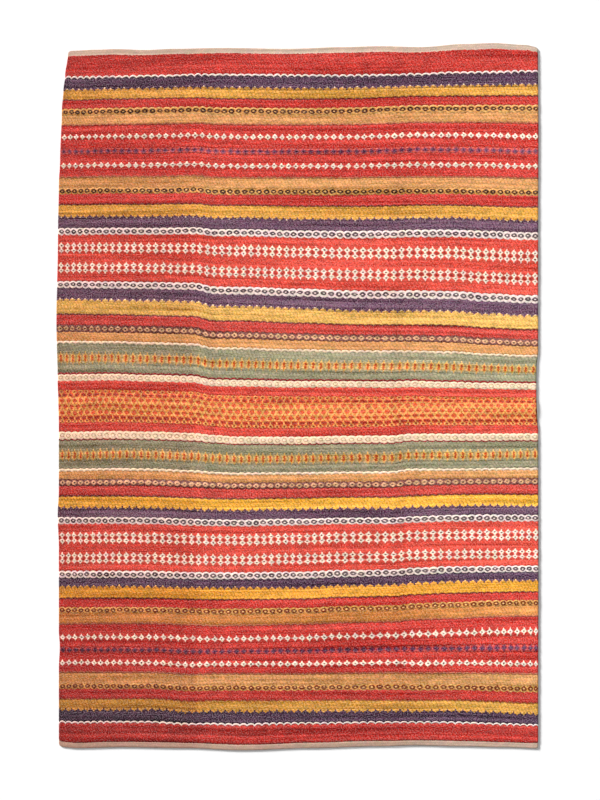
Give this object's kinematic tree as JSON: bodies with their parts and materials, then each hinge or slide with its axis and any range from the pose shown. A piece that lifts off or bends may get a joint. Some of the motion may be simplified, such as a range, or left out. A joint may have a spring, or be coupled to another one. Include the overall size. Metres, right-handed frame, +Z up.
{
  "type": "jute kilim",
  "caption": "Flat-woven jute rug with bands of stripes and small woven motifs, turned hems at both ends, and a few soft folds, lying flat.",
  "frame": {"origin": "centre of the underside's box, on the ground that the rug lies on", "axes": "+X across the rug, +Y along it towards the far hem (the top of the picture), +Z up"},
  "size_m": [1.6, 2.3468, 0.01],
  "materials": {
    "woven_jute": "matt flat weave of dyed jute weft, in bands of red, purple, yellow, tan, green and white"
  },
  "bodies": {
    "root": {"kilim": "woven_jute"}
  },
  "joints": []
}
